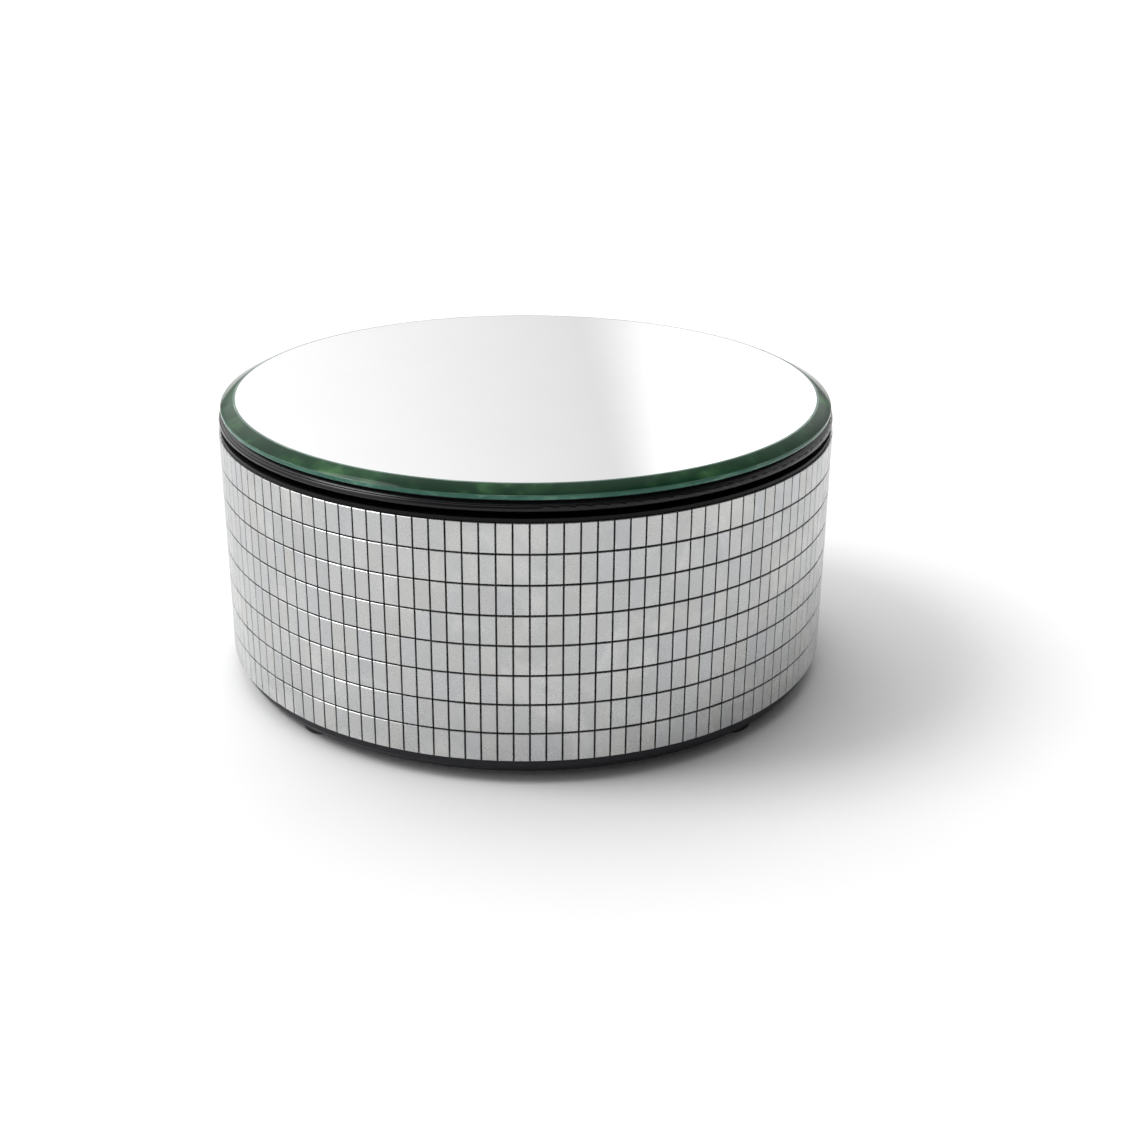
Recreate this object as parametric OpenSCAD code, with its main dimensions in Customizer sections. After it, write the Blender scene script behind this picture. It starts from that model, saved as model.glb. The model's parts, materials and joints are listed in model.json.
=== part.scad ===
// Motor-driven display stand: a bevelled mirror disc turns on a low drum whose side is a mirror mosaic.
// The origin is on the surface the feet stand on, under the turning axis. +Z is up, -Y is the front.

/* [Mirror disc] */
// Diameter of the mirror glass
mirror_d = 200; // [196:1:206]
// Thickness of the glass
glass_t = 3.5; // [3:0.1:5]
// Width of the bevel, seen from above
bevel_w = 4.2; // [2:0.1:8]
// Height of the bevel
bevel_h = 2.1; // [1:0.1:2.4]
// Silver coat and backing paint under the glass
silver_t = 0.2; // [0.1:0.05:0.3]

/* [Mosaic side] */
// Tile columns round the drum
tile_columns = 132; // [96:4:150]
// Height of one row of tiles with its joint
row_pitch = 9.43; // [9.3:0.01:9.6]
// Width of the open joints between tiles
joint_w = 0.48; // [0.3:0.02:0.8]
// Thickness of a tile
tile_t = 1.8; // [1.2:0.1:2]

/* [Stand] */
// How far the feet lift the base plate
foot_drop = 3; // [2.5:0.1:5]
// Diameter of a foot
foot_d = 14; // [10:0.5:18]
// Visible height of the black band below the tiles
band_h = 4.35; // [4:0.05:6]
// Height of the housing's lip above the tiles
lip_h = 1.1; // [0.8:0.1:1.6]
// Open gap between the lip and the platter's rim
turning_gap = 1.8; // [1.6:0.1:2.4]

/* [Drive] */
// Teeth on each reduction wheel
wheel_teeth = 60; // [56:1:62]
// Teeth on each pinion
pinion_teeth = 12; // [12:1:13]
// Teeth on the output gear
output_teeth = 72; // [70:1:74]
// Module of the reduction stages
fine_module = 0.5; // [0.48:0.01:0.5]
// Module of the output stage
coarse_module = 0.8; // [0.78:0.01:0.8]

/* [Power] */
// Diameter of the dry cell
cell_d = 34.2; // [32:0.1:34.2]
// Length of the dry cell over its positive cap
cell_l = 61.5; // [60:0.1:61.5]
// Travel of the switch knob
switch_travel = 4; // [3:0.1:4]

/* [Hidden] */
$fn = 96;
rows = 8;

// Clearances: a running fit, a loose fit, and the reach of a cutter past a face.
run_gap = 0.05;
loose_gap = 0.3;
past = 1;

// Heights, from the feet up
plate_t = 2.5;
plate_z = foot_drop;
floor_z = plate_z + plate_t;
tiles_z = plate_z + band_h;
tiles_top_z = tiles_z + rows * row_pitch;
deck_top_z = tiles_top_z + lip_h;
deck_z = deck_top_z - plate_t;
platter_z = deck_top_z + turning_gap;
platter_top_z = platter_z + 2.9;
pad_t = 0.4;
silver_z = platter_top_z + pad_t;
glass_z = silver_z + silver_t;

// Radii of the drum, from the tile faces inwards
band_r = mirror_d / 2 + 1;
backing_t = 0.45;
tile_back_r = band_r - tile_t;
drum_r = tile_back_r - 0.05 - backing_t;
wall_t = 2.2;
drum_in_r = drum_r - wall_t;
lip_r = band_r - 0.6;
base_r = band_r - 1.4;
under_cut = 1.3;
under_cut_h = 2;
tile_turn = 0.4;

// Platter
platter_t = 2.6;
platter_under_z = platter_top_z - platter_t;
rim_bead_r = 1;
rim_r = mirror_d / 2 - 0.3;
hub_r = 9;
spindle_r = 4;

// Feet and base fastenings
foot_ring_r = 90;
foot_sink = 1;
base_screw_ring_r = 89;
base_screw_r = 1.4;

// Gearbox: two plates on four columns, hung under the deck
frame_z = 46;
cover_z = 74;
cover_top_z = cover_z + plate_t;
column_r = 3.5;
columns = [[-26, -26], [58, -26], [58, 44], [-26, 44]];
long_screw_r = 1.5;
axle_r = 1;
sleeve_r = 2.2;
gear_t = 3;

// Gear centres: each stage sits at a centre distance and a direction from the one before
output_distance = coarse_module * (output_teeth + pinion_teeth) / 2;
fine_distance = fine_module * (wheel_teeth + pinion_teeth) / 2;
dir_3 = 0;
dir_2 = 60;
dir_1 = 160;
dir_motor = 100;
function polar(r, a) = [r * cos(a), r * sin(a)];
gear_3_at = polar(output_distance, dir_3);
gear_2_at = gear_3_at + polar(fine_distance, dir_2);
gear_1_at = gear_2_at + polar(fine_distance, dir_1);
motor_at = gear_1_at + polar(fine_distance, dir_motor);

// Heights of the gears
motor_pinion_z = 49.6;
gear_1_z = 51;
gear_2_z = 54.8;
gear_3_z = 58.6;
output_z = 63;

// Tooth form, in modules and in shares of the pitch
addendum = 0.9;
dedendum = 1.25;
root_share = 0.32;
flank_share = 0.225;
tip_share = 0.1;

// Motor
motor_r = 12.2;
motor_wall = 0.8;
motor_z = 22;
motor_top_z = frame_z - 0.05;
shaft_r = 1;

// Rollers
roller_r = 6;
roller_w = 5;
roller_ring_r = 80;
roller_z = platter_under_z - run_gap - roller_r;
roller_angles = [90, 210, 330];
ear_t = 2.5;

// Battery bay
bay_y = -35;
bay_l = 72;
bay_w = cell_d + 2.8;
bay_wall = 1.8;
bay_top_z = 43;
cell_z = floor_z + 1 + cell_d / 2;
cap_h = 1.5;
cap_r = 4.75;
can_l = cell_l - cap_h;
contact_t = 0.5;
tab_z = 36.8;

// Switch
switch_y = 66;
knob_l = 4;
knob_w = 2.8;

// Wires
wire_r = 0.8;
supply_route = [[-41.4, -35, 37], [-46, -34, 36], [-55, -20, 28], [-56, 10, 20], [-44, 40, 17],
                [-20, 60, 20], [-7, 66, 20], [-5, 66, 15]];
motor_route = [[5, 66, 15], [6, 66, 20], [12, 62, 19], [17, 52, 13], [17.6, 42, 11.5], [17.56, 39.5, 16]];
return_route = [[41.4, -35, 37], [46, -34, 36], [55, -20, 28], [57, 6, 18], [46, 24, 12],
                [32, 36, 10.5], [27.8, 38.5, 12], [27.56, 39.5, 16]];

// ---------------------------------------------------------------- shared shapes

module ring(r_out, r_in, z, h) {
    translate([0, 0, z]) difference() {
        cylinder(r = r_out, h = h);
        translate([0, 0, -past]) cylinder(r = r_in, h = h + 2 * past);
    }
}

module hole(at, r, z, h) {
    translate([at[0], at[1], z]) cylinder(r = r, h = h);
}

// Box given by its centre in X and Y, its size and its lowest Z
module block(at, size, z) {
    translate([at[0] - size[0] / 2, at[1] - size[1] / 2, z]) cube(size);
}

function tooth(m, teeth, i, phase) =
    let (rp = m * teeth / 2, step = 360 / teeth, mid = i * step + phase)
    [for (p = [[-dedendum, -root_share], [0, -flank_share], [addendum, -tip_share],
               [addendum, tip_share], [0, flank_share], [-dedendum, root_share]])
        polar(rp + p[0] * m, mid + p[1] * step)];

// Toothed disc with one tooth centred at the angle phase
module toothed(m, teeth, h, phase) {
    linear_extrude(h) polygon([for (i = [0 : teeth - 1]) each tooth(m, teeth, i, phase)]);
}

// Angle at which a pinion has a gap facing back along the line that comes in at angle a
function facing_gap(teeth, a) = a + 180 + 180 / teeth;

// Wheel and pinion moulded on one sleeve that runs on a fixed axle
module compound_gear(at, z, wheel_dir, pinion_m, pinion_dir_in, pinion_h) {
    translate([at[0], at[1], 0]) difference() {
        union() {
            translate([0, 0, frame_z + plate_t + 0.2])
                cylinder(r = sleeve_r, h = cover_z - frame_z - plate_t - 0.4);
            translate([0, 0, z]) toothed(fine_module, wheel_teeth, gear_t, wheel_dir);
            translate([0, 0, z + gear_t])
                toothed(pinion_m, pinion_teeth, pinion_h, facing_gap(pinion_teeth, pinion_dir_in));
        }
        translate([0, 0, frame_z]) cylinder(r = axle_r + run_gap, h = cover_z - frame_z);
    }
}

module axle(at) {
    color("gainsboro") hole(at, axle_r, frame_z + 0.2, cover_top_z - frame_z - 0.4);
}

// Screw pointing up: a pan head with a cross recess below a plain shank
module screw(at, z, shank_r, shank_l, head_r, head_h) {
    translate([at[0], at[1], z]) difference() {
        union() {
            cylinder(r = head_r, h = head_h);
            cylinder(r = shank_r, h = head_h + shank_l);
        }
        for (a = [0, 90])
            rotate([0, 0, a]) block([0, 0], [head_r * 1.2, 0.7, head_h * 0.5 + past], -past);
    }
}

// Chamfered outline of the gearbox plates
module gearbox_plate(z) {
    x0 = -32;
    x1 = 64;
    y0 = -32;
    y1 = 50;
    c = 7;
    translate([0, 0, z]) linear_extrude(plate_t)
        polygon([[x0 + c, y0], [x1 - c, y0], [x1, y0 + c], [x1, y1 - c],
                 [x1 - c, y1], [x0 + c, y1], [x0, y1 - c], [x0, y0 + c]]);
}

// ---------------------------------------------------------------- turntable

module mirror_glass() {
    r = mirror_d / 2;
    arris = 0.25;
    color([0.55, 0.72, 0.64, 0.6]) translate([0, 0, glass_z]) rotate_extrude($fn = 180)
        polygon([[0, 0], [r - arris, 0], [r, arris], [r, glass_t - bevel_h],
                 [r - bevel_w, glass_t], [0, glass_t]]);
}

module mirror_silvering() {
    color("silver") translate([0, 0, silver_z]) cylinder(r = mirror_d / 2 - 0.6, h = silver_t);
}

module adhesive_pad() {
    color("dimgray") translate([0, 0, platter_top_z]) cylinder(r = rim_r - 3, h = pad_t);
}

module platter_rim_profile() {
    polygon([[hub_r, platter_under_z], [rim_r, platter_under_z], [rim_r + 0.6, platter_z + 1.6],
             [rim_r - 0.9, platter_top_z], [hub_r, platter_top_z]]);
    translate([rim_r, platter_z + rim_bead_r]) circle(r = rim_bead_r, $fn = 32);
}

module platter() {
    rib_h = 1.1;
    hub_z = cover_top_z + 1.75;
    color([0.09, 0.09, 0.1]) difference() {
        union() {
            rotate_extrude($fn = 180) platter_rim_profile();
            translate([0, 0, hub_z]) cylinder(r = hub_r + 0.5, h = platter_top_z - hub_z);
            for (i = [0 : 5])
                rotate([0, 0, i * 60]) translate([hub_r, -1, platter_under_z - rib_h])
                    cube([roller_ring_r - 9 - hub_r, 2, rib_h + 0.5]);
            ring(roller_ring_r + 12, roller_ring_r + 10, platter_under_z - rib_h, rib_h + 0.5);
        }
        translate([0, 0, hub_z - past]) cylinder(r = spindle_r, h = platter_under_z - hub_z + past);
        translate([0, 0, platter_under_z - past]) cylinder(r = 2.1, h = platter_t + 2 * past);
        translate([0, 0, platter_top_z - 1.9]) cylinder(r = 4.2, h = 1.9 + past);
    }
}

module platter_screw() {
    color("gainsboro") difference() {
        union() {
            translate([0, 0, platter_top_z - 1.9]) cylinder(r = 4, h = 1.8);
            translate([0, 0, platter_top_z - 14]) cylinder(r = 1.9, h = 12.2);
        }
        for (a = [0, 90])
            rotate([0, 0, a]) block([0, 0], [4.6, 0.8, 2], platter_top_z - 1);
    }
}

module spindle() {
    clip_z = frame_z - 1.6;
    color("gainsboro") difference() {
        translate([0, 0, frame_z - 2.6]) cylinder(r = spindle_r, h = platter_under_z - frame_z + 2.6);
        ring(spindle_r + past, spindle_r - 0.5, clip_z, 0.9);
        translate([0, 0, platter_top_z - 15]) cylinder(r = 1.95, h = 15);
    }
}

module spindle_clip() {
    clip_z = frame_z - 1.6;
    color("gray") difference() {
        ring(spindle_r + 2.2, spindle_r - 0.5, clip_z + 0.05, 0.8);
        block([0, -spindle_r - 1], [4, 6, 3], clip_z - past);
    }
}

module output_gear() {
    color("ivory") difference() {
        union() {
            translate([0, 0, output_z]) toothed(coarse_module, output_teeth, 5, dir_3);
            translate([0, 0, output_z - 4]) cylinder(r = 8, h = 13);
        }
        hole([0, 0], spindle_r, output_z - 5, 20);
        for (i = [0 : 5]) hole(polar(18, 30 + i * 60), 5.5, output_z - past, 8);
    }
}

// ---------------------------------------------------------------- housing

module base_screw_boss(a) {
    boss_z = floor_z + 2.1;
    rotate([0, 0, a]) {
        translate([base_screw_ring_r, 0, boss_z]) cylinder(r = 4, h = 34);
        translate([base_screw_ring_r + 3, -1, boss_z + 6]) cube([drum_in_r - base_screw_ring_r - 2, 2, 28]);
    }
}

module roller_ears(a) {
    ear_z = roller_z - 3;
    rotate([0, 0, a]) for (side = [-1, 1])
        translate([roller_ring_r + side * (roller_w / 2 + loose_gap + ear_t / 2) - ear_t / 2, -4.5, ear_z])
            cube([ear_t, 9, deck_z - ear_z + 0.5]);
}

module housing() {
    color([0.1, 0.1, 0.11]) difference() {
        union() {
            ring(drum_r, drum_in_r, tiles_z, deck_top_z - tiles_z);
            ring(lip_r, drum_in_r, tiles_top_z + 0.05, lip_h - 0.05);
            translate([0, 0, deck_z]) cylinder(r = drum_in_r + 0.5, h = plate_t);
            for (at = columns) hole(at, column_r + 0.5, cover_top_z, deck_z - cover_top_z + 0.5);
            for (a = [0 : 90 : 270]) base_screw_boss(a);
            for (a = roller_angles) roller_ears(a);
        }
        hole([0, 0], 12, deck_z - past, plate_t + 2 * past);
        for (a = roller_angles) rotate([0, 0, a]) {
            block([roller_ring_r, 0], [roller_w + 2 * loose_gap, 2 * roller_r + 3, plate_t + 2 * past],
                  deck_z - past);
            translate([roller_ring_r - 9, 0, roller_z]) rotate([0, 90, 0]) cylinder(r = axle_r, h = 18);
        }
        for (at = columns) hole(at, long_screw_r + 0.05, cover_top_z - past, 7.6);
        for (a = [0 : 90 : 270]) hole(polar(base_screw_ring_r, a), base_screw_r + 0.05, floor_z, 14);
    }
}

module mosaic_backing() {
    color("dimgray") ring(drum_r + backing_t, drum_r, tiles_z + 0.05, rows * row_pitch - 0.1);
}

// One row of separate upright mirror tiles, with a joint tile_turn degrees round from the front
module mosaic_row(i) {
    pitch_w = 2 * PI * band_r / tile_columns;
    tile_w = pitch_w - joint_w;
    z = tiles_z + (i - 1) * row_pitch + joint_w / 2;
    color("lightgray") for (k = [0 : tile_columns - 1])
        rotate([0, 0, (k + 0.5) * 360 / tile_columns + tile_turn])
            translate([-tile_w / 2, -band_r, z]) cube([tile_w, tile_t, row_pitch - joint_w]);
}

module base_plate() {
    spigot_r = drum_in_r - 0.2;
    color([0.11, 0.11, 0.13]) difference() {
        union() {
            translate([0, 0, plate_z]) cylinder(r1 = base_r - under_cut, r2 = base_r, h = under_cut_h);
            translate([0, 0, plate_z + under_cut_h]) cylinder(r = base_r, h = plate_t - under_cut_h);
            ring(base_r, drum_in_r + 0.3, plate_z + under_cut_h, band_h - under_cut_h);
            ring(spigot_r, spigot_r - 2, floor_z - 0.5, 5);
            for (a = [0 : 90 : 270]) hole(polar(base_screw_ring_r, a), 5, floor_z - 0.5, 2.5);
            for (a = [22.5 : 45 : 337.5]) rotate([0, 0, a]) translate([70, -1, floor_z - 0.5])
                cube([spigot_r - 71, 2, 3.5]);
        }
        block([0, bay_y], [bay_l, bay_w, plate_t + 2 * past], plate_z - past);
        block([0, switch_y], [2 * knob_l + 0.6, knob_w + 0.6, plate_t + 2 * past], plate_z - past);
        block([0, switch_y], [15, 8, 0.8 + past], plate_z - past);
        for (a = [0 : 90 : 270]) {
            hole(polar(base_screw_ring_r, a), base_screw_r + 0.2, plate_z - past, 8);
            hole(polar(base_screw_ring_r, a), 3.2, plate_z - past, 2.4 + past);
        }
        for (a = [45 : 90 : 315]) hole(polar(foot_ring_r, a), foot_d / 2 + 0.1, plate_z - past, foot_sink + past);
    }
}

module base_screws() {
    color("gainsboro") for (a = [0 : 90 : 270])
        screw(polar(base_screw_ring_r, a), plate_z + 0.4, base_screw_r, 11, 2.8, 2);
}

module foot(a) {
    r = foot_d / 2;
    edge = 1.2;
    h = foot_drop + foot_sink;
    color([0.06, 0.06, 0.06]) translate(concat(polar(foot_ring_r, a), 0)) rotate_extrude() {
        square([r - edge, h]);
        translate([0, edge]) square([r, h - edge]);
        translate([r - edge, edge]) circle(r = edge, $fn = 32);
    }
}

// ---------------------------------------------------------------- gearbox

module gearbox_frame() {
    color([0.2, 0.2, 0.22]) difference() {
        union() {
            gearbox_plate(frame_z);
            for (at = columns) hole(at, column_r, frame_z, cover_z - frame_z);
        }
        for (at = columns) hole(at, long_screw_r + 0.1, frame_z - past, cover_z - frame_z + 2 * past);
        for (at = [gear_1_at, gear_2_at, gear_3_at]) hole(at, axle_r, frame_z - past, plate_t + 2 * past);
        hole([0, 0], 6, frame_z - past, plate_t + 2 * past);
        hole(motor_at, 3.3, frame_z - past, plate_t + 2 * past);
        for (side = [-1, 1]) hole(motor_at + [side * 7.5, 0], 1.2, frame_z - past, plate_t + 2 * past);
    }
}

module gearbox_cover() {
    color([0.2, 0.2, 0.22]) difference() {
        gearbox_plate(cover_z);
        for (at = columns) hole(at, long_screw_r + 0.1, cover_z - past, plate_t + 2 * past);
        for (at = [gear_1_at, gear_2_at, gear_3_at]) hole(at, axle_r, cover_z - past, plate_t + 2 * past);
        hole([0, 0], 6, cover_z - past, plate_t + 2 * past);
    }
}

module gearbox_screws() {
    color("gainsboro") for (at = columns) screw(at, frame_z - 2.1, long_screw_r, 36.5, 2.9, 2.1);
}

// Flanged bush for the spindle, its flange on top of the plate at z
module bush(z) {
    color("goldenrod") difference() {
        union() {
            translate([0, 0, z]) cylinder(r = 6, h = plate_t);
            translate([0, 0, z + plate_t]) cylinder(r = 8, h = 0.9);
        }
        hole([0, 0], spindle_r + run_gap, z - past, 6);
    }
}

module thrust_washer() {
    color("white") ring(8, spindle_r + run_gap, cover_top_z + 0.9, 0.8);
}

module gear_1() {
    color("white") compound_gear(gear_1_at, gear_1_z, dir_motor, fine_module, dir_1, 5);
}

module gear_2() {
    color("ivory") compound_gear(gear_2_at, gear_2_z, dir_1, fine_module, dir_2, 5.2);
}

module gear_3() {
    color("white") compound_gear(gear_3_at, gear_3_z, dir_2, coarse_module, dir_3, 8.4);
}

// ---------------------------------------------------------------- motor

module motor_case() {
    color("silver") translate([motor_at[0], motor_at[1], 0]) difference() {
        union() {
            translate([0, 0, motor_z]) cylinder(r = motor_r, h = motor_top_z - motor_z);
            translate([0, 0, motor_top_z - 0.1]) cylinder(r = 3, h = 2);
        }
        translate([0, 0, motor_z - past]) cylinder(r = motor_r - motor_wall, h = motor_top_z - motor_z + past - 0.8);
        translate([0, 0, motor_z]) cylinder(r = shaft_r + run_gap, h = 30);
        for (side = [-1, 1]) hole([side * 7.5, 0], 1, motor_top_z - 2, 4);
    }
}

module motor_cap() {
    color("white") translate([motor_at[0], motor_at[1], 0]) difference() {
        union() {
            translate([0, 0, motor_z - 2.5]) cylinder(r = motor_r, h = 2.5);
            translate([0, 0, motor_z - 0.5]) cylinder(r = motor_r - motor_wall, h = 1.8);
            for (side = [-1, 1]) block([side * 5, 0], [0.5, 2.4, 3.4], motor_z - 5.8);
        }
        translate([0, 0, motor_z - 1.7]) cylinder(r = shaft_r + run_gap, h = 5);
    }
}

module motor_magnets() {
    color([0.25, 0.25, 0.27]) translate([motor_at[0], motor_at[1], motor_z + 3])
        for (a = [0, 180]) rotate([0, 0, a + 30]) rotate_extrude(angle = 120)
            translate([9.2, 0]) square([motor_r - motor_wall - 9.2, 16]);
}

module motor_armature() {
    slot_w = 1.6;
    color("peru") translate([motor_at[0], motor_at[1], 0]) difference() {
        union() {
            translate([0, 0, motor_z - 1.6]) cylinder(r = shaft_r, h = 54.4 - motor_z + 1.6);
            translate([0, 0, motor_z + 1.5]) cylinder(r = 2.6, h = 3.6);
            translate([0, 0, motor_z + 5]) cylinder(r = 8.6, h = 12);
        }
        for (a = [30, 150, 270]) rotate([0, 0, a]) translate([5, -slot_w / 2, motor_z + 4]) cube([5, slot_w, 14]);
    }
}

module motor_pinion() {
    color("goldenrod") translate([motor_at[0], motor_at[1], motor_pinion_z]) difference() {
        toothed(fine_module, pinion_teeth, 5.2, facing_gap(pinion_teeth, dir_motor));
        translate([0, 0, -past]) cylinder(r = shaft_r, h = 8);
    }
}

module motor_screws() {
    color("gainsboro") for (side = [-1, 1]) translate(concat(motor_at + [side * 7.5, 0], frame_z + plate_t)) {
        cylinder(r = 1.9, h = 1.2);
        translate([0, 0, -3.4]) cylinder(r = 0.95, h = 3.5);
    }
}

// ---------------------------------------------------------------- rollers

module roller(a) {
    color("darkslategray") rotate([0, 0, a]) translate([roller_ring_r - roller_w / 2, 0, roller_z])
        rotate([0, 90, 0]) difference() {
            union() {
                cylinder(r = roller_r, h = roller_w - 1.6);
                translate([0, 0, 0.8]) cylinder(r = roller_r, h = roller_w - 1.6);
                cylinder(r = 2.6, h = roller_w);
            }
            translate([0, 0, -past]) cylinder(r = axle_r + run_gap, h = roller_w + 2 * past);
        }
}

module roller_pins() {
    l = roller_w + 2 * (loose_gap + ear_t);
    color("gainsboro") for (a = roller_angles) rotate([0, 0, a])
        translate([roller_ring_r - l / 2, 0, roller_z]) rotate([0, 90, 0]) cylinder(r = axle_r, h = l);
}

// ---------------------------------------------------------------- power

module battery_box() {
    outer = [bay_l + 2 * bay_wall, bay_w + 2 * bay_wall, bay_top_z - floor_z];
    color([0.13, 0.13, 0.14]) difference() {
        block([0, bay_y], outer, floor_z);
        block([0, bay_y], [bay_l, bay_w, outer[2] - bay_wall + past], floor_z - past);
        for (side = [-1, 1]) block([side * bay_l / 2, bay_y], [8, 5.2, 0.9], tab_z - 0.2);
    }
}

module battery_door() {
    l = bay_l - 2 * loose_gap;
    w = bay_w - 2 * loose_gap;
    t = 2;
    color([0.11, 0.11, 0.13]) difference() {
        union() {
            block([0, bay_y], [l, w, t], plate_z);
            for (i = [-4 : 4]) block([-22 + i * 1.6, bay_y], [0.8, 16, 0.6], plate_z - 0.4);
            for (side = [-1, 1]) block([0, bay_y + side * (w / 2 - 1.2)], [l - 8, 1.2, 1.1], plate_z + t - 0.3);
        }
        for (side = [-1, 1]) block([-l / 2 + 6, bay_y + side * 6], [12 + past, 0.8, t + 2 * past], plate_z - past);
        block([-l / 2, bay_y], [3.2, 8, 1.2], plate_z - 0.2);
    }
}

module dry_cell() {
    color("firebrick") translate([-can_l / 2, bay_y, cell_z]) rotate([0, 90, 0]) difference() {
        cylinder(r = cell_d / 2, h = can_l);
        translate([0, 0, -past]) ring(cell_d / 2 - 1, cap_r + 2, 0, 1 + 0.6);
    }
}

module dry_cell_cap() {
    color("silver") translate([-can_l / 2 - cap_h, bay_y, cell_z]) rotate([0, 90, 0])
        cylinder(r = cap_r, h = cap_h);
}

module contact_plate(side) {
    x = side * (bay_l / 2 - contact_t / 2);
    block([x, bay_y], [contact_t, 18, 22], cell_z - 8);
    block([side * (bay_l / 2 + 2.2), bay_y], [5.4, 4.8, contact_t], tab_z);
}

module contact_positive() {
    tip = can_l / 2 + cap_h + 0.1;
    color("silver") {
        contact_plate(-1);
        translate([-bay_l / 2 + contact_t / 2, bay_y, cell_z]) rotate([0, 90, 0])
            cylinder(r = 3.4, h = bay_l / 2 - contact_t / 2 - tip);
    }
}

module contact_negative() {
    color("silver") contact_plate(1);
}

// Tube of 8 sides swept along points; each ring stands square to the path
function unit(v) = v / norm(v);
function heading(path, i) =
    unit(path[min(i + 1, len(path) - 1)] - path[max(i - 1, 0)]);
function side_of(t) = unit(cross(t, abs(t[2]) < 0.9 ? [0, 0, 1] : [0, 1, 0]));
module tube(path, r) {
    sides = 8;
    n = len(path);
    points = [for (i = [0 : n - 1]) let (t = heading(path, i), u = side_of(t), v = cross(t, u))
        for (k = [0 : sides - 1]) path[i] + r * (cos(k * 360 / sides) * u + sin(k * 360 / sides) * v)];
    walls = [for (i = [0 : n - 2]) for (k = [0 : sides - 1])
        let (a = i * sides + k, b = i * sides + (k + 1) % sides) [a, b, b + sides, a + sides]];
    ends = [[for (k = [sides - 1 : -1 : 0]) k], [for (k = [0 : sides - 1]) (n - 1) * sides + k]];
    polyhedron(points, concat(walls, ends), convexity = 6);
}

// Smooth curve through the route's points
function curve_point(p, i, t) =
    let (a = p[max(i - 1, 0)], b = p[i], c = p[i + 1], d = p[min(i + 2, len(p) - 1)])
    0.5 * (2 * b + (c - a) * t + (2 * a - 5 * b + 4 * c - d) * t * t + (3 * b - a - 3 * c + d) * t * t * t);
function smooth(p, steps) = concat(
    [for (i = [0 : len(p) - 2]) for (s = [0 : steps - 1]) curve_point(p, i, s / steps)], [p[len(p) - 1]]);

module wire(route) {
    tube(smooth(route, 6), wire_r);
}

module wire_supply() {
    color("red") wire(supply_route);
}

module wire_motor() {
    color("orangered") wire(motor_route);
}

module wire_return() {
    color([0.1, 0.1, 0.1]) wire(return_route);
}

// Conical coil between the negative plate and the cell's flat end
module contact_spring() {
    turns = 3;
    steps = 16;
    r_wide = 8;
    r_tip = 4.5;
    coil_r = 0.45;
    x_plate = bay_l / 2 - contact_t - coil_r - 0.05;
    x_tip = can_l / 2 + coil_r + 0.15;
    color("gainsboro") tube([for (i = [0 : turns * steps])
        let (s = i / (turns * steps), a = i * 360 / steps, r = r_wide + (r_tip - r_wide) * s)
        [x_plate + (x_tip - x_plate) * s, bay_y + r * cos(a), cell_z + r * sin(a)]], coil_r);
}

// ---------------------------------------------------------------- switch

module switch_body() {
    color("silver") difference() {
        union() {
            block([0, switch_y], [19, 6.4, 6], floor_z);
            block([0, switch_y], [26, 6.4, 0.8], floor_z);
            for (x = [-5, 0, 5]) block([x, switch_y], [0.6, 2, 3.6], floor_z + 5.5);
        }
        block([0, switch_y], [2 * knob_l + 0.6, knob_w + 0.6, 3 + past], floor_z - past);
    }
}

module switch_knob() {
    color([0.08, 0.08, 0.09]) difference() {
        block([-switch_travel / 2, switch_y], [knob_l, knob_w, 5.8], plate_z - 1.1);
        for (i = [-1 : 1]) block([-switch_travel / 2 + i * 1.2, switch_y], [0.5, knob_w + past, 0.5], plate_z - 1.3);
    }
}

// ---------------------------------------------------------------- nodes

mirror_glass();
mirror_silvering();
adhesive_pad();
platter();
platter_screw();
spindle();
spindle_clip();
output_gear();
housing();
mosaic_backing();
for (i = [1 : rows]) mosaic_row(i);
base_plate();
base_screws();
for (i = [1 : 4]) foot(i * 90 - 45);
gearbox_frame();
gearbox_cover();
gearbox_screws();
bush(frame_z);  // lower_bush
bush(cover_z);  // upper_bush
thrust_washer();
gear_1();
gear_2();
gear_3();
axle(gear_1_at);  // axle_1
axle(gear_2_at);  // axle_2
axle(gear_3_at);  // axle_3
motor_case();
motor_cap();
motor_magnets();
motor_armature();
motor_pinion();
motor_screws();
for (i = [1 : 3]) roller(roller_angles[i - 1]);
roller_pins();
battery_box();
battery_door();
dry_cell();
dry_cell_cap();
contact_positive();
contact_negative();
contact_spring();
switch_body();
switch_knob();
wire_supply();
wire_motor();
wire_return();
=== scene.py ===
import json
import math
import random

import bmesh
import bpy
from mathutils import Euler, Matrix, Vector


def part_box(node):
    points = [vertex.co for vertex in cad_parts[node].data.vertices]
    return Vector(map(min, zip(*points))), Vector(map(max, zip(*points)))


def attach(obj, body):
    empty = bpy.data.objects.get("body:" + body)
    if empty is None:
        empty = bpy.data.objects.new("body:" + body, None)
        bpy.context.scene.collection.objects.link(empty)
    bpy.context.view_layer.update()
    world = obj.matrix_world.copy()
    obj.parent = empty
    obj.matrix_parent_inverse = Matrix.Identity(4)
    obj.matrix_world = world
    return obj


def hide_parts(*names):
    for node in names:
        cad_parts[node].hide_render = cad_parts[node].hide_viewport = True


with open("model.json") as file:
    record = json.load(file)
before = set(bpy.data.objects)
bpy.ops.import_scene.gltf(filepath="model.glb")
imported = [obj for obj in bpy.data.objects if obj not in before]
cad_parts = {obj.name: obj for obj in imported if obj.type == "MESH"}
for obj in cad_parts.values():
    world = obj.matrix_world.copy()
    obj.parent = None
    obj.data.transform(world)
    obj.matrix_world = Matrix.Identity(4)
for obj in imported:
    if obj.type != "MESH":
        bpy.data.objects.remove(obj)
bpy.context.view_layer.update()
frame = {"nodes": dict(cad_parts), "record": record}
NODES = frame["nodes"]

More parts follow.
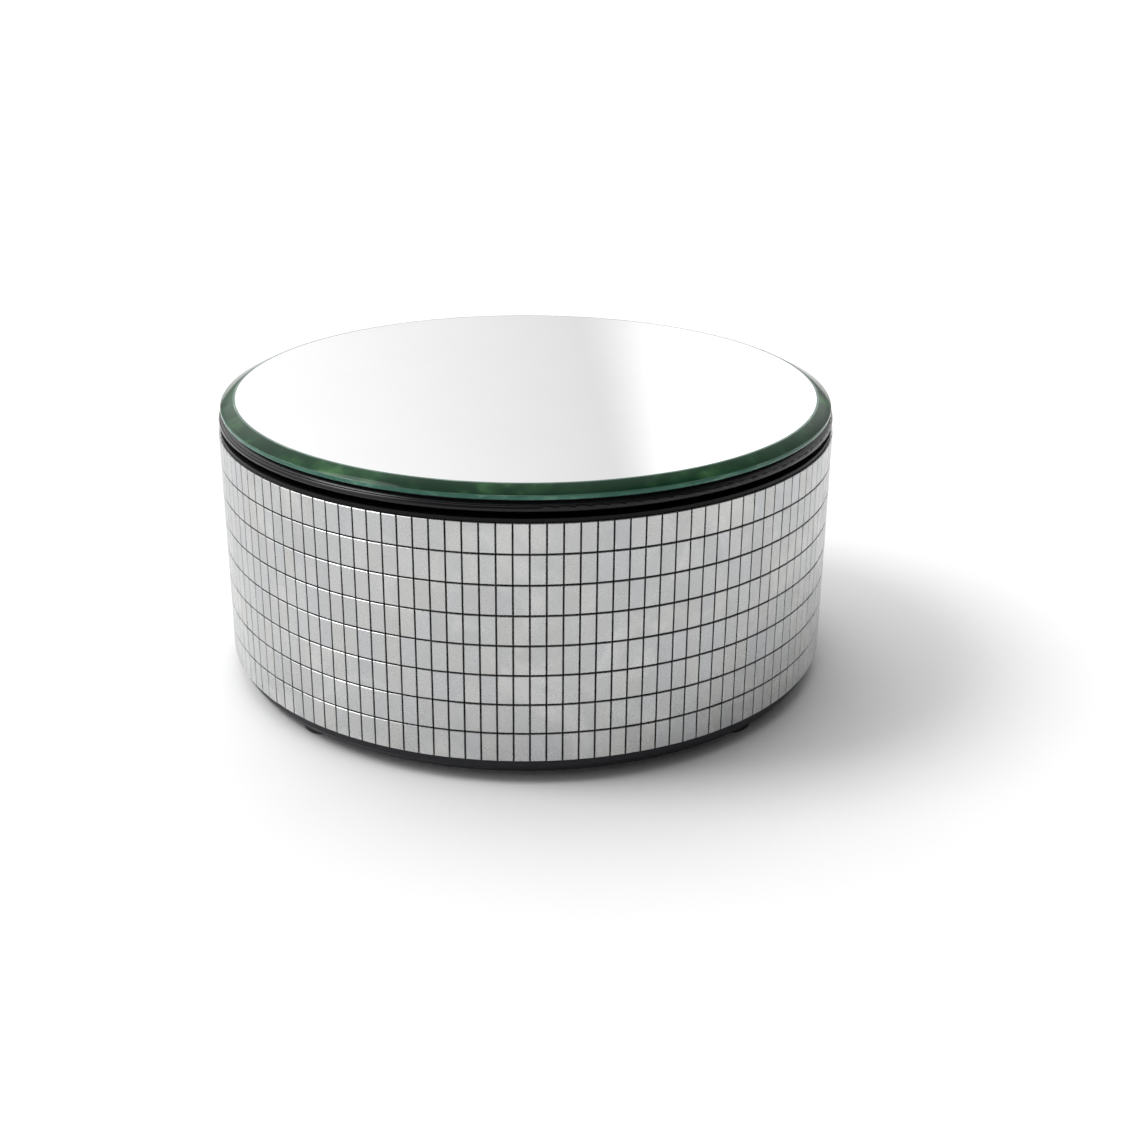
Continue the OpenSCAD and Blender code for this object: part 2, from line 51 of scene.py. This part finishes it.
# ------------------------------------------------------------------ measures, in metres, from the frame
GLASS_LO, GLASS_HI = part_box("mirror_glass")
GLASS_R = GLASS_HI.x
BEVEL_W = 0.0042
BEVEL_H = 0.0021
RIM_LINE = 0.00050
GLASS_ARRIS = 0.00012
BACK_ARRIS = 0.00025
LATHE_STEPS = 360
CREASE = math.radians(12)

ROWS = 8
COLUMNS = 132
JOINT = 0.00048
TILE_FACE_R = 0.101
TILE_T = 0.0018
ARRIS = 0.00014
TILE_TURN = math.radians(0.4)
# How unevenly the tiles are laid: tip and twist in degrees, how far they sink, then tone and warmth.
TIP, TWIST = 0.22, 0.3
SINK_SPREAD, SINK_LEAST = 0.00002, 0.00003
TONE_SPREAD = 0.022
WARMTH_SPREAD = 0.25
FIRST_SEED = 40

FLOOR_HALF = 12.0

# ------------------------------------------------------------------ light levels
# A patch is its direction, the angles in degrees where it is full and where it ends, and its level.
WALL = 0.85
BAND_LEFT = 1.9
BAND_RIGHT = 0.75
OVERHEAD = ((-0.08, 0.20, 0.97), 4.0, 36.0, 1.8)
LOW_LEFT = ((-0.90, -0.38, 0.20), 4.0, 34.0, 1.2)
KEY_LEVEL = 1.1
KEY_DIRECTION = (-0.62, 0.03, 0.78)
KEY_ANGLE = 24

# ------------------------------------------------------------------ camera
CAMERA_AT = (0.0, -0.52177, 0.24579)
CAMERA_TURN, CAMERA_DOWN, CAMERA_ROLL = -1.474, 22.667, 0.461
LENS = 51.819


# ------------------------------------------------------------------ node helpers
def tree_of(block):
    """The node tree of a material or world, emptied."""
    block.use_nodes = True
    block.node_tree.nodes.clear()
    return block.node_tree


def node(tree, kind, sockets=None, **settings):
    """A new node. Sockets take a plain value or another node's output."""
    made = tree.nodes.new(kind)
    for key, value in settings.items():
        setattr(made, key, value)
    for key, value in (sockets or {}).items():
        if isinstance(value, bpy.types.NodeSocket):
            tree.links.new(value, made.inputs[key])
        else:
            made.inputs[key].default_value = value
    return made


def place(tree):
    """Position in the row frame."""
    return node(tree, "ShaderNodeTexCoord").outputs["Object"]


def math_of(tree, operation, a, b=0.0, clamp=False):
    return node(tree, "ShaderNodeMath", {0: a, 1: b}, operation=operation, use_clamp=clamp).outputs[0]


def stretched(tree, vector, scale):
    return node(tree, "ShaderNodeVectorMath", {0: vector, 1: scale}, operation="MULTIPLY").outputs[0]


def noise(tree, vector, scale, detail=3.0, rough=0.55, distortion=0.0):
    return node(tree, "ShaderNodeTexNoise",
                {"Vector": vector, "Scale": scale, "Detail": detail, "Roughness": rough,
                 "Distortion": distortion}).outputs["Fac"]


def cells(tree, vector, scale, feature="F1"):
    return node(tree, "ShaderNodeTexVoronoi", {"Vector": vector, "Scale": scale},
                feature=feature).outputs["Distance"]


def spread(tree, value, lo, hi, to_lo=0.0, to_hi=1.0):
    """Value from lo..hi to to_lo..to_hi, with soft ends."""
    return node(tree, "ShaderNodeMapRange",
                {"Value": value, "From Min": lo, "From Max": hi, "To Min": to_lo, "To Max": to_hi},
                interpolation_type="SMOOTHSTEP").outputs["Result"]


def rgba(colour):
    return (*colour, 1.0)


def mix(tree, factor, a, b, blend="MIX"):
    """Colour mix. A and b are colours or outputs."""
    made = node(tree, "ShaderNodeMix", {0: factor}, data_type="RGBA", blend_type=blend)
    for index, value in ((6, a), (7, b)):
        if isinstance(value, bpy.types.NodeSocket):
            tree.links.new(value, made.inputs[index])
        else:
            made.inputs[index].default_value = rgba(value)
    return made.outputs[2]


def bump(tree, height, strength, distance, normal=None):
    sockets = {"Height": height, "Strength": strength, "Distance": distance}
    if normal is not None:
        sockets["Normal"] = normal
    return node(tree, "ShaderNodeBump", sockets).outputs["Normal"]


def surface(tree, **sockets):
    """Principled shader wired to the output. Keys are socket names with _ for a space."""
    names = {key.replace("_", " "): value for key, value in sockets.items()}
    if not isinstance(names["Base Color"], bpy.types.NodeSocket):
        names["Base Color"] = rgba(names["Base Color"])
    shader = node(tree, "ShaderNodeBsdfPrincipled", names)
    node(tree, "ShaderNodeOutputMaterial", {"Surface": shader.outputs[0]})
    return shader


def new_material(name):
    made = bpy.data.materials.new(name)
    return made, tree_of(made)


# ------------------------------------------------------------------ materials
def plastic(name, colour, roughness, texture, grain=1500.0, tint=(1.25, 1.2, 1.15), coat=0.0, shine=0.5):
    """Moulded plastic: spark texture of the given strength, slow colour change, rubbed patches."""
    made, t = new_material(name)
    at = place(t)
    slow = noise(t, at, 38.0, 4.0, 0.6)
    fine = noise(t, at, grain, 2.0, 0.5)
    lighter = tuple(min(1.0, c * k) for c, k in zip(colour, tint))
    base = mix(t, spread(t, slow, 0.35, 0.7), colour, lighter)
    rough = math_of(t, "ADD", spread(t, slow, 0.3, 0.75, roughness - 0.05, roughness + 0.06),
                    spread(t, fine, 0.3, 0.7, -0.03, 0.03))
    relief = bump(t, math_of(t, "ADD", fine, cells(t, at, grain * 0.45)), texture, 0.00006)
    surface(t, Base_Color=base, Roughness=rough, Normal=relief, Specular_IOR_Level=shine,
            Coat_Weight=coat, Coat_Roughness=0.12)
    return made


def metal(name, colour, roughness, marks=(1.0, 1.0, 1.0), scale=900.0, depth=0.15, dull=None):
    """Bare metal: marks stretched along an axis, slow tarnish."""
    made, t = new_material(name)
    at = place(t)
    lines = noise(t, stretched(t, at, marks), scale, 4.0, 0.65)
    slow = noise(t, at, 60.0, 3.0, 0.6)
    dull = dull or tuple(c * 0.72 for c in colour)
    base = mix(t, spread(t, slow, 0.4, 0.8), colour, dull)
    both = math_of(t, "ADD", math_of(t, "MULTIPLY", lines, 0.7), math_of(t, "MULTIPLY", slow, 0.3))
    rough = spread(t, both, 0.3, 0.7, roughness - 0.07, roughness + 0.1)
    surface(t, Base_Color=base, Metallic=1.0, Roughness=rough, Normal=bump(t, lines, depth, 0.00003))
    return made


def rubber(name, colour):
    made, t = new_material(name)
    at = place(t)
    dust = noise(t, at, 260.0, 5.0, 0.7)
    grain = noise(t, at, 2600.0, 2.0, 0.5)
    base = mix(t, spread(t, dust, 0.52, 0.8), colour, tuple(c * 2.1 + 0.01 for c in colour))
    surface(t, Base_Color=base, Roughness=spread(t, dust, 0.3, 0.8, 0.62, 0.86),
            Normal=bump(t, grain, 0.35, 0.00005), Specular_IOR_Level=0.35)
    return made


def foam(name, colour):
    made, t = new_material(name)
    at = place(t)
    pores = cells(t, at, 2200.0)
    # Painted shade: the colour is darker in the pores.
    base = mix(t, spread(t, pores, 0.05, 0.45), tuple(c * 0.45 for c in colour), colour)
    surface(t, Base_Color=base, Roughness=0.9, Normal=bump(t, pores, 0.7, 0.0001))
    return made


def weave(name, colour):
    """Glass-fibre netting on a drum: threads round it and up it."""
    made, t = new_material(name)
    at = node(t, "ShaderNodeSeparateXYZ", {0: place(t)}).outputs
    angle = math_of(t, "ARCTAN2", at["Y"], at["X"])
    across = math_of(t, "SINE", math_of(t, "MULTIPLY", angle, 620.0))
    up = math_of(t, "SINE", math_of(t, "MULTIPLY", at["Z"], 6283.0))
    threads = math_of(t, "MAXIMUM", math_of(t, "ABSOLUTE", across), math_of(t, "ABSOLUTE", up))
    fuzz = noise(t, place(t), 2400.0, 3.0, 0.6)
    base = mix(t, spread(t, math_of(t, "MULTIPLY", threads, fuzz), 0.15, 0.6),
               tuple(c * 0.55 for c in colour), colour)
    surface(t, Base_Color=base, Roughness=0.75, Normal=bump(t, threads, 0.5, 0.00008))
    return made


def tile_material():
    """Silvered mosaic tile: satin face with a fine grain, tone and warmth set tile by tile, and soft lighter
    patches of painted sheen.
    """
    made, t = new_material("mosaic_tile")
    at = place(t)
    tone = node(t, "ShaderNodeAttribute", attribute_name="tone").outputs["Fac"]
    warmth = node(t, "ShaderNodeAttribute", attribute_name="warmth").outputs["Fac"]
    grain = noise(t, at, 2100.0, 3.0, 0.7)
    cloud = noise(t, at, 150.0, 3.0, 0.6, 0.6)
    silver = mix(t, warmth, (0.462, 0.474, 0.484), (0.484, 0.483, 0.470))
    toned = mix(t, 1.0, silver, node(t, "ShaderNodeCombineColor", {0: tone, 1: tone, 2: tone}).outputs[0],
                "MULTIPLY")
    # Painted sheen: soft lighter patches in the colour stand for bright cloudy reflections on the silver.
    painted_sheen_mask = spread(t, noise(t, at, 34.0, 3.0, 0.6, 1.4), 0.46, 0.70)
    with_painted_sheen = mix(t, math_of(t, "MULTIPLY", painted_sheen_mask, 0.42), toned, (0.66, 0.66, 0.64))
    grain_and_painted_sheen = mix(t, spread(t, grain, 0.35, 0.75, 0.0, 0.16), with_painted_sheen, (0.80, 0.81, 0.82))
    rough = math_of(t, "ADD", spread(t, cloud, 0.3, 0.7, 0.24, 0.34), spread(t, grain, 0.3, 0.7, -0.03, 0.05))
    relief = bump(t, grain, 0.12, 0.00004, bump(t, cloud, 0.12, 0.00012))
    surface(t, Base_Color=grain_and_painted_sheen, Metallic=0.85, Roughness=rough, Normal=relief)
    return made


def mirror_material():
    """The flat of the mirror, seen through glass: silver with the glass's faint green and a trace of haze."""
    made, t = new_material("mirror_face")
    at = place(t)
    haze = noise(t, at, 24.0, 4.0, 0.6)
    specks = spread(t, cells(t, at, 420.0), 0.0, 0.035, 0.0, 1.0)
    silver = mix(t, spread(t, haze, 0.35, 0.7), (0.962, 0.963, 0.962), (0.945, 0.947, 0.946))
    base = mix(t, specks, (0.865, 0.870, 0.870), silver)
    rough = math_of(t, "MULTIPLY", haze, 0.012)
    surface(t, Base_Color=base, Metallic=1.0, Roughness=rough, Coat_Weight=0.25, Coat_Roughness=0.01)
    return made


def bevel_material(name, dark, mid, light, patch_scale, roughness, shine=0.22):
    """Green glass seen edge on. Painted light and shade: soft darker and lighter patches in the colour stand
    for what the glass pipes from the rim.
    """
    made, t = new_material(name)
    at = place(t)
    xyz = node(t, "ShaderNodeSeparateXYZ", {0: at}).outputs
    angle = math_of(t, "ARCTAN2", xyz["Y"], xyz["X"])
    around = node(t, "ShaderNodeCombineXYZ",
                  {"X": math_of(t, "SINE", angle), "Y": math_of(t, "COSINE", angle),
                   "Z": math_of(t, "MULTIPLY", xyz["Z"], 25.0)}).outputs[0]
    patches = noise(t, around, patch_scale, 3.0, 0.6, 0.4)
    streaks = noise(t, around, patch_scale * 3.0, 2.0, 0.5)
    fine = noise(t, at, 900.0, 2.0, 0.5)
    # Painted light and shade: darker and lighter green patches stand for what the glass shows from the rim.
    first = mix(t, spread(t, patches, 0.38, 0.66), dark, mid)
    second = mix(t, spread(t, math_of(t, "MULTIPLY", patches, streaks), 0.24, 0.44), first, light)
    surface(t, Base_Color=second, Roughness=roughness, IOR=1.52, Specular_IOR_Level=shine,
            Normal=bump(t, fine, 0.02, 0.00002))
    return made


MATERIALS = {
    "silver_coat": plastic("silver_coat", (0.012, 0.020, 0.019), 0.35, 0.2),
    "foam_tape": foam("foam_tape", (0.22, 0.22, 0.23)),
    "gloss_black": plastic("gloss_black", (0.0060, 0.0060, 0.0075), 0.17, 0.05, 900.0, shine=0.24),
    "satin_black": plastic("satin_black", (0.0050, 0.0048, 0.0048), 0.42, 0.18, shine=0.14),
    "base_black": plastic("base_black", (0.0085, 0.0090, 0.0135), 0.44, 0.3, 1300.0, shine=0.3),
    "foot_rubber": rubber("foot_rubber", (0.016, 0.016, 0.017)),
    "backing_mesh": weave("backing_mesh", (0.075, 0.075, 0.080)),
    "gearbox_grey": plastic("gearbox_grey", (0.19, 0.195, 0.20), 0.46, 0.25),
    "gear_plastic": plastic("gear_plastic", (0.72, 0.70, 0.63), 0.40, 0.08, tint=(1.04, 1.03, 1.0)),
    "ground_steel": metal("ground_steel", (0.60, 0.60, 0.61), 0.20, (1.0, 1.0, 14.0)),
    "zinc_steel": metal("zinc_steel", (0.55, 0.56, 0.57), 0.34, (1.0, 1.0, 1.0), 500.0, 0.25),
    "bronze": metal("bronze", (0.50, 0.33, 0.16), 0.36, dull=(0.33, 0.20, 0.10)),
    "motor_steel": metal("motor_steel", (0.50, 0.50, 0.51), 0.30, (1.0, 1.0, 0.08)),
    "cap_plastic": plastic("cap_plastic", (0.62, 0.60, 0.55), 0.5, 0.2, tint=(1.06, 1.04, 1.0)),
    "ferrite": plastic("ferrite", (0.045, 0.045, 0.05), 0.62, 0.4),
    "roller_rubber": rubber("roller_rubber", (0.03, 0.03, 0.032)),
    "cell_sleeve": plastic("cell_sleeve", (0.10, 0.13, 0.19), 0.24, 0.04, coat=0.6),
    "nickel": metal("nickel", (0.64, 0.61, 0.56), 0.24, (10.0, 1.0, 1.0), 700.0, 0.1),
    "switch_plastic": plastic("switch_plastic", (0.62, 0.61, 0.58), 0.42, 0.12, tint=(1.05, 1.04, 1.02)),
    "wire_red": plastic("wire_red", (0.42, 0.02, 0.015), 0.34, 0.05, tint=(1.1, 1.1, 1.1)),
    "wire_black": plastic("wire_black", (0.012, 0.012, 0.013), 0.34, 0.05),
    "mosaic_tile": tile_material(),
}
SLOT_OF = {row["node"]: row["material_slot"] for row in frame["record"]["subparts"]}
for name, obj in NODES.items():
    finish = MATERIALS.get(SLOT_OF.get(name))
    if finish is not None:
        for socket in obj.material_slots:
            socket.material = finish


# ------------------------------------------------------------------ mesh helpers
def to_object(name, mesh_maker, materials):
    mesh = bpy.data.meshes.new(name)
    bm = bmesh.new()
    mesh_maker(bm)
    bm.normal_update()
    bm.to_mesh(mesh)
    bm.free()
    for material in materials:
        mesh.materials.append(material)
    made = bpy.data.objects.new(name, mesh)
    bpy.context.scene.collection.objects.link(made)
    return made


def lathe(bm, profile, segments):
    """Turns a profile of (radius, z, material) round the axis. A material is for the band above its point."""
    rings = []
    for r, z, _ in profile:
        if r < 1e-7:
            rings.append([bm.verts.new((0, 0, z))] * segments)
        else:
            rings.append([bm.verts.new((r * math.sin(2 * math.pi * k / segments),
                                        -r * math.cos(2 * math.pi * k / segments), z))
                          for k in range(segments)])
    for (lower, upper), (_, _, material) in zip(zip(rings, rings[1:]), profile):
        for k in range(segments):
            n = (k + 1) % segments
            corners = []
            for v in (lower[k], lower[n], upper[n], upper[k]):
                if v not in corners:
                    corners.append(v)
            face = bm.faces.new(corners)
            face.material_index = material
            face.smooth = True
    for edge in bm.edges:
        if len(edge.link_faces) == 2:
            bend = edge.calc_face_angle(0.0)
            edge.smooth = bend < CREASE


# ------------------------------------------------------------------ mirror glass
# The order of its materials.
FACE, GROUND, BEVEL, EDGE, BACK = range(5)


def glass_mesh(bm):
    top, low = GLASS_HI.z, GLASS_LO.z
    flat_r = GLASS_R - BEVEL_W
    foot = top - BEVEL_H
    slope = math.atan2(BEVEL_H, BEVEL_W)
    profile = [
        (0.0, low, BACK),
        (GLASS_R - BACK_ARRIS, low, EDGE),
        (GLASS_R, low + BACK_ARRIS, EDGE),
        (GLASS_R, foot - GLASS_ARRIS, GROUND),
        (GLASS_R - GLASS_ARRIS, foot + GLASS_ARRIS * math.tan(slope), BEVEL),
        (flat_r + GLASS_ARRIS * math.cos(slope), top - GLASS_ARRIS * math.sin(slope), GROUND),
        (flat_r - GLASS_ARRIS, top, GROUND),
        (flat_r - GLASS_ARRIS - RIM_LINE, top, FACE),
        (0.0, top, FACE),
    ]
    lathe(bm, profile, LATHE_STEPS)


glass = to_object("mirror_glass_disc", glass_mesh, [
    mirror_material(),
    bevel_material("glass_arris", (0.055, 0.115, 0.090), (0.095, 0.170, 0.135), (0.18, 0.27, 0.22),
                   4.0, 0.12),
    bevel_material("glass_bevel", (0.005, 0.030, 0.013), (0.014, 0.062, 0.026), (0.050, 0.140, 0.052),
                   3.4, 0.10, shine=0.08),
    bevel_material("glass_edge", (0.032, 0.120, 0.084), (0.058, 0.175, 0.122), (0.110, 0.250, 0.185),
                   7.0, 0.12),
    MATERIALS["silver_coat"],
])
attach(glass, "turntable")
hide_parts("mirror_glass")


# ------------------------------------------------------------------ mosaic rows
def add_tile(bm, tone, warmth, angle, z, width, height, draw):
    """One tile with a ground arris round its face, leaning a little in its bed."""
    lean = Euler((math.radians(draw.gauss(0, TIP)), 0.0, math.radians(draw.gauss(0, TWIST)))).to_matrix()
    sink = abs(draw.gauss(0, SINK_SPREAD)) + SINK_LEAST
    hw, hh = width / 2, height / 2
    rings = []
    for inset, depth in ((0.0, -TILE_T), (0.0, -ARRIS), (ARRIS, 0.0)):
        w, h = hw - inset, hh - inset
        rings.append([Vector((x, -depth, y)) for x, y in ((-w, -h), (w, -h), (w, h), (-w, h))])
    spin = Matrix.Rotation(angle, 3, "Z")
    made = []
    for ring in rings:
        made.append([bm.verts.new(spin @ (lean @ p + Vector((0, -TILE_FACE_R + sink, z)))) for p in ring])
    back, side, face = made
    bm.faces.new(face)
    bm.faces.new(back[::-1])
    for a, b in ((back, side), (side, face)):
        for k in range(4):
            n = (k + 1) % 4
            bm.faces.new((a[k], a[n], b[n], b[k]))
    value = max(0.8, min(1.2, draw.gauss(1.0, TONE_SPREAD)))
    heat = min(1.0, max(0.0, draw.gauss(0.5, WARMTH_SPREAD)))
    for ring in made:
        for v in ring:
            v[tone] = value
            v[warmth] = heat


def row_maker(lo, hi, seed):
    def make(bm):
        draw = random.Random(seed)
        tone = bm.verts.layers.float.new("tone")
        warmth = bm.verts.layers.float.new("warmth")
        width = 2 * math.pi * TILE_FACE_R / COLUMNS - JOINT
        for k in range(COLUMNS):
            turn = 2 * math.pi * (k + 0.5) / COLUMNS + TILE_TURN
            add_tile(bm, tone, warmth, turn, (lo + hi) / 2, width, hi - lo, draw)
    return make


for i in range(1, ROWS + 1):
    lo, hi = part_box(f"mosaic_row_{i}")
    row = to_object(f"mosaic_tiles_{i}", row_maker(lo.z, hi.z, FIRST_SEED + i), [MATERIALS["mosaic_tile"]])
    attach(row, "stand")
    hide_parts(f"mosaic_row_{i}")

# ------------------------------------------------------------------ floor, light and camera
def floor_material():
    made, t = new_material("floor")
    at = place(t)
    grain = noise(t, at, 30.0, 4.0, 0.6)
    surface(t, Base_Color=mix(t, grain, (0.90, 0.90, 0.90), (0.915, 0.915, 0.915)), Roughness=0.95,
            Specular_IOR_Level=0.1)
    return made


def floor_mesh(bm):
    half = FLOOR_HALF
    bm.faces.new([bm.verts.new((x, y, 0))
                  for x, y in ((-half, -half), (half, -half), (half, half), (-half, half))])


floor = to_object("floor", floor_mesh, [floor_material()])

world = bpy.data.worlds.new("studio")
bpy.context.scene.world = world
wt = tree_of(world)
heading = node(wt, "ShaderNodeTexCoord").outputs["Generated"]
heading_xyz = node(wt, "ShaderNodeSeparateXYZ", {0: heading}).outputs
azimuth = math_of(wt, "MULTIPLY", math_of(wt, "ARCTAN2", heading_xyz["X"], heading_xyz["Y"]), 180 / math.pi)
elevation = math_of(wt, "MULTIPLY", math_of(wt, "ARCSINE", heading_xyz["Z"]), 180 / math.pi)


def grey(value):
    return node(wt, "ShaderNodeCombineColor", {0: value, 1: value, 2: value}).outputs[0]


def softbox(direction, inner, outer, level):
    """A soft round patch of light: full inside the inner angle, none past the outer one, in degrees."""
    facing = node(wt, "ShaderNodeVectorMath", {0: heading, 1: Vector(direction).normalized()},
                  operation="DOT_PRODUCT").outputs["Value"]
    return spread(wt, facing, math.cos(math.radians(outer)), math.cos(math.radians(inner)), 0.0, level)


# A bright patch overhead, a low one on the left, a bright band from the left round the back,
# a pale wall behind that dims to the right, and a dim room everywhere else.
behind = spread(wt, heading_xyz["Y"], 0.05, 0.6)
wall = math_of(wt, "MULTIPLY", spread(wt, elevation, 3.0, 13.0, 0.25, WALL),
               spread(wt, elevation, 16.0, 40.0, 1.0, 0.0))
room = spread(wt, elevation, 0.0, 60.0, 0.16, 0.10)
band = math_of(wt, "MULTIPLY", spread(wt, elevation, 8.0, 38.0),
               spread(wt, elevation, 46.0, 76.0, 1.0, 0.0))
round_back = math_of(wt, "MULTIPLY", spread(wt, azimuth, -132.0, -92.0),
                     spread(wt, azimuth, 50.0, 92.0, 1.0, 0.0))
strength = spread(wt, azimuth, -90.0, 70.0, BAND_LEFT, BAND_RIGHT)
far_right = spread(wt, azimuth, 24.0, 48.0, 1.0, 0.4)
level = math_of(wt, "ADD", math_of(wt, "MULTIPLY", math_of(wt, "MULTIPLY", behind, far_right), wall), room)
lit_band = math_of(wt, "MULTIPLY", math_of(wt, "MULTIPLY", band, round_back), strength)
level = math_of(wt, "ADD", level, lit_band)
for patch in (OVERHEAD, LOW_LEFT):
    level = math_of(wt, "ADD", level, softbox(*patch))
# A soft grey fold in the far wall, sharper on its right, gives the mirror its grey band.
leaning = math_of(wt, "SUBTRACT", azimuth,
                  math_of(wt, "MULTIPLY", math_of(wt, "SUBTRACT", elevation, 17.0), 0.27))
fold = node(wt, "ShaderNodeMapRange", {"Value": leaning, "From Min": -9.5, "From Max": 2.6,
                                       "To Min": 1.065, "To Max": 0.775}).outputs["Result"]
where = math_of(wt, "MULTIPLY", spread(wt, leaning, -13.0, -9.0), spread(wt, leaning, 2.4, 6.2, 1.0, 0.0))
dipped = mix(wt, math_of(wt, "MULTIPLY", where, spread(wt, elevation, 30.0, 45.0, 1.0, 0.0)),
             grey(level), grey(fold))
background = node(wt, "ShaderNodeBackground", {"Color": dipped, "Strength": 1.0})
node(wt, "ShaderNodeOutputWorld", {"Surface": background.outputs[0]})

key_data = bpy.data.lights.new("key", "SUN")
key_data.energy = KEY_LEVEL
key_data.angle = math.radians(KEY_ANGLE)
key = bpy.data.objects.new("key", key_data)
key.rotation_euler = Vector(KEY_DIRECTION).to_track_quat("Z", "Y").to_euler()
bpy.context.scene.collection.objects.link(key)

camera_data = bpy.data.cameras.new("camera")
camera_data.sensor_width = 36.0
camera_data.lens = LENS
camera = bpy.data.objects.new("camera", camera_data)
camera.matrix_world = (Matrix.Translation(CAMERA_AT)
                       @ Matrix.Rotation(math.radians(CAMERA_TURN), 4, "Z")
                       @ Matrix.Rotation(math.radians(90 - CAMERA_DOWN), 4, "X")
                       @ Matrix.Rotation(math.radians(CAMERA_ROLL), 4, "Z"))
bpy.context.scene.collection.objects.link(camera)
bpy.context.scene.camera = camera
bpy.context.scene.view_settings.view_transform = "Standard"
